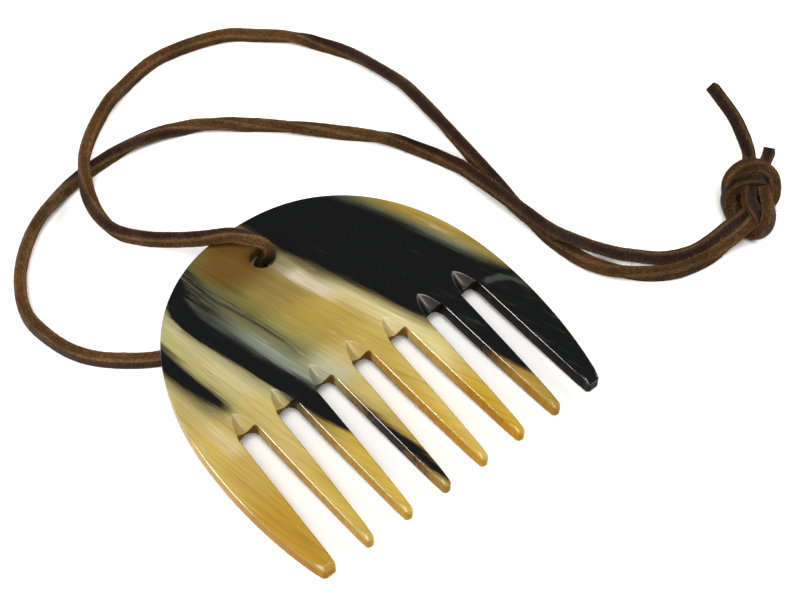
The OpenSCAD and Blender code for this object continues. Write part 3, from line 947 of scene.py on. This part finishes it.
def lace_mesh(route, grain_keys, tone_keys, seed):
    path, where = catmull(route)
    shape = section()
    n = len(shape)
    perimeter = [0.0]
    for i in range(n):
        perimeter.append(perimeter[-1] + math.dist(shape[i], shape[(i + 1) % n]))
    rings, centres = [], []
    normal = None
    for i, c in enumerate(path):
        t = (path[min(i + 1, len(path) - 1)] - path[max(i - 1, 0)]).normalized()
        g = Vector(keyed(grain_keys, where[i]))
        g -= t * g.dot(t)
        if g.length < 0.15 and normal is not None:
            g = normal - t * normal.dot(t)
        if normal is not None:
            g = (g.normalized() * 0.12 + (normal - t * normal.dot(t)).normalized() * 0.88)
        g.normalize()
        normal = g
        across = g.cross(t)
        squeezed = HOLE_SQUEEZE + (1 - HOLE_SQUEEZE) * smooth(where[i], 1.2, 3.0)
        ring = []
        for k, (a, b) in enumerate(shape):
            raw = b < SIDE / 2 - CORNER * 0.6
            wob = 0.05 * noise.noise(Vector((i * 0.11 + seed * 17, a * 0.6, b * 0.6)))
            wob += (0.055 if raw else 0.02) * noise.noise(Vector((i * 0.55 + seed * 31, a * 2.2, b * 2.2)))
            f = (1 + wob / 1.4) * squeezed
            ring.append(c + across * (a * f) + g * (b * f))
        rings.append(ring)
        centres.append(c)
    # the lace lies down on the surface and never under it
    lift = []
    for ring, c in zip(rings, centres):
        low = min(p.z for p in ring)
        settle = 1 - smooth(c.z, 1.7, 2.6)
        lift.append(-low if low < 0 else -low * settle)
    lift = blurred(lift, 8, 1)
    verts, tone, edge = [], [], []
    for i, ring in enumerate(rings):
        low = min(p.z for p in ring)
        up = Vector((0, 0, max(lift[i], -low)))
        centres[i] = centres[i] + up
        rings[i] = [p + up for p in ring]
        for k, p in enumerate(rings[i]):
            verts.append(p * MM)
            tone.append(float(keyed(tone_keys, where[i])))
            edge.append(1.0 if k % 7 < 4 else 0.0)
    faces, mats, uvs = [], [], []
    grain_from, grain_to = 2, 7
    s = 0.0
    for i in range(len(rings) - 1):
        ds = (centres[i + 1] - centres[i]).length
        for k in range(n):
            j = (k + 1) % n
            a, b = i * n + k, i * n + j
            c, d = (i + 1) * n + j, (i + 1) * n + k
            faces.append((a, b, c, d))
            mats.append(0 if grain_from <= k <= grain_to else 1)
            u0, u1, v0, v1 = s / 10, (s + ds) / 10, perimeter[k] / 10, perimeter[k + 1] / 10
            uvs.append(((u0, v0), (u0, v1), (u1, v1), (u1, v0)))
        s += ds
    for end, ring_at in ((0, 0), (1, len(rings) - 1)):
        mid = len(verts)
        verts.append(centres[ring_at] * MM)
        tone.append(tone[ring_at * n] * 0.8)
        edge.append(0.0)
        for k in range(n):
            j = (k + 1) % n
            tri = (ring_at * n + k, ring_at * n + j, mid)
            faces.append(tri if end else tuple(reversed(tri)))
            mats.append(1)
            pts = [(shape[k][0] / 10, shape[k][1] / 10), (shape[j][0] / 10, shape[j][1] / 10), (0, 0)]
            uvs.append(pts if end else list(reversed(pts)))
    return verts, faces, mats, uvs, tone, edge, centres, rings


# ---------------------------------------------------------------- build
grain_leather = leather_material("leather_grain", True)
raw_leather = leather_material("leather_raw", False)

laces = []
for seed, (name, route, keys, knot, tail, tail_way, nodes) in enumerate((
    ("lace_long_strand", FRONT, FRONT_GRAIN, KNOT_FRONT, TAIL_LONG, (-0.6, 0.3, 0.7),
     ("lace_front", "lace_knot", "lace_tail_long")),
    ("lace_short_strand", BACK, BACK_GRAIN, KNOT_BACK, TAIL_SHORT, (-0.5, 0.1, 0.8),
    ("lace_back", "lace_tail_short")),
)):
    knot_pts, knot_ways = knot_route(knot)
    grain = dict(keys)
    for i, w in enumerate(knot_ways):
        grain[len(route) + i] = w
    last = len(route) + len(knot_pts)
    grain[last + 1] = tail_way
    # the first points, inside the hole, are painted darker as shade; the other tones vary along the lace
    tones = {0: 0.18, 1: 0.28, 2: 0.75, 4: 1.22, 10: 1.15, 17: 1.0, 25: 0.82, 31: 0.8}
    tones.update({last - 1: 0.74, last + 3: 0.74})
    points = route + knot_pts + tail
    verts, faces, mats, uvs, tone, edge, centres, rings = lace_mesh(points, grain, tones, seed)
    obj = add_mesh(name, verts, faces, [grain_leather, raw_leather], mats, uvs, {"tone": tone, "edge": edge})
    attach(obj, "lace")
    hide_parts(*nodes)
    laces.append((centres, rings))

# a dark body for the imported turns inside the knot; its low tone is painted shade
verts, faces = [], []
for i in range(9):
    a = math.pi * i / 8
    for j in range(16):
        b = 2 * math.pi * j / 16
        r = 1 + 0.12 * noise.noise(Vector((i * 0.9, math.cos(b) * 1.5, math.sin(b) * 1.5)))
        verts.append(from_knot((
            -0.6 + 3.9 * r * math.sin(a) * math.cos(b),
            -0.4 + 3.2 * r * math.sin(a) * math.sin(b),
            4.3 - 2.6 * r * math.cos(a),
        )) * MM)
for i in range(8):
    for j in range(16):
        k = (j + 1) % 16
        faces.append((i * 16 + j, i * 16 + k, i * 16 + 16 + k, i * 16 + 16 + j))
core = add_mesh("lace_knot_core", verts, faces, [raw_leather], uvs=[
    tuple((0.4 * u, 0.4 * v) for u, v in ((i, j), (i, j + 1), (i + 1, j + 1), (i + 1, j)))
    for i in range(8) for j in range(16)
], attributes={"tone": [0.45] * len(verts), "edge": [0.0] * len(verts)})
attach(core, "lace")

# loose fibres along the cut edges of the lace
dice = random.Random(7)
verts, faces, tone = [], [], []
corner_ids = (0, 3, 7, 10, 14, 17, 21, 24)
for centres, rings in laces:
    for i in range(4, len(rings) - 2):
        for _ in range(3):
            k = dice.choice(corner_ids)
            if dice.random() < 0.25:
                k = dice.choice((12, 19, 26))
            foot = rings[i][k]
            out = (foot - centres[i]).normalized()
            along = (centres[i + 1] - centres[i]).normalized() * dice.choice((-1, 1))
            way = out + along * dice.uniform(0.2, 1.6)
            way = (way + Vector((dice.uniform(-0.4, 0.4) for _ in range(3)))).normalized()
            long = dice.uniform(0.30, 0.74) * (1.7 if dice.random() < 0.06 else 1)
            tip = foot + way * long
            in_reach = math.hypot(foot.x - HOLE[0], foot.y - HOLE_ROW_Y)
            if tip.z < 0.05 or tip.z > 12.4 or in_reach < 6 or (in_reach < 46 and foot.y < 36):
                continue
            bend = foot + way * (long * 0.55) + out * dice.uniform(-0.08, 0.08)
            a = way.orthogonal().normalized()
            b = way.cross(a)
            wide = dice.uniform(0.026, 0.050)
            start = len(verts)
            for centre, size in ((foot - out * 0.05, wide), (bend, wide * 0.75)):
                for m in range(3):
                    ang = 2 * math.pi * m / 3
                    verts.append((centre + (a * math.cos(ang) + b * math.sin(ang)) * size) * MM)
            verts.append(tip * MM)
            for m in range(3):
                n = (m + 1) % 3
                faces.append((start + m, start + n, start + 3 + n, start + 3 + m))
                faces.append((start + 3 + m, start + 3 + n, start + 6))
            faces.append((start + 2, start + 1, start))
            tone += [dice.uniform(0.6, 1.5)] * 7
fibres = add_mesh("lace_fibres", verts, faces, [fibre_material()], attributes={"tone": tone})
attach(fibres, "lace")

verts, faces, marks = comb_mesh()
comb = add_mesh("horn_comb", verts, faces, [horn_material()], attributes=marks)
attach(comb, "comb")
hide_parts("comb")
print("comb", len(verts), len(faces))

# ---------------------------------------------------------------- floor and light
floor_mat = Nodes("floor")
floor_mat.surface({"Base Color": (0.76, 0.752, 0.728, 1), "Roughness": 0.7, "Specular IOR Level": 0.2})
floor = add_mesh("floor", [(-2, -2, 0), (2, -2, 0), (2, 2, 0), (-2, 2, 0)], [(0, 1, 2, 3)], [floor_mat.mat])
floor.location.z = -0.00005


for name, place, aim, width, height, power in (
    ("left_box", (-0.66, 0.34, 0.46), (0, 0.02, 0), 0.22, 0.22, 7.0),
    ("right_box", (0.72, -0.24, 0.50), (0.02, 0.0, 0), 0.36, 0.32, 6.5),
    ("front_box", (-0.36, -0.52, 0.98), (0.02, 0.02, 0), 0.8, 0.6, 12.5),
    ("top_box", (-0.12, -0.16, 1.15), (0.02, 0.02, 0), 0.55, 0.55, 7.5),
):
    data = bpy.data.lights.new(name, "AREA")
    data.shape = "RECTANGLE"
    data.size, data.size_y = width, height
    data.energy = power
    light = bpy.data.objects.new(name, data)
    light.location = place
    light.rotation_euler = (Vector(aim) - Vector(place)).to_track_quat("-Z", "Y").to_euler()
    scene.collection.objects.link(light)
world = bpy.data.worlds.new("studio")
world.use_nodes = True
background = world.node_tree.nodes["Background"].inputs
background["Color"].default_value = (1, 1, 1, 1)
background["Strength"].default_value = 0.07
scene.world = world
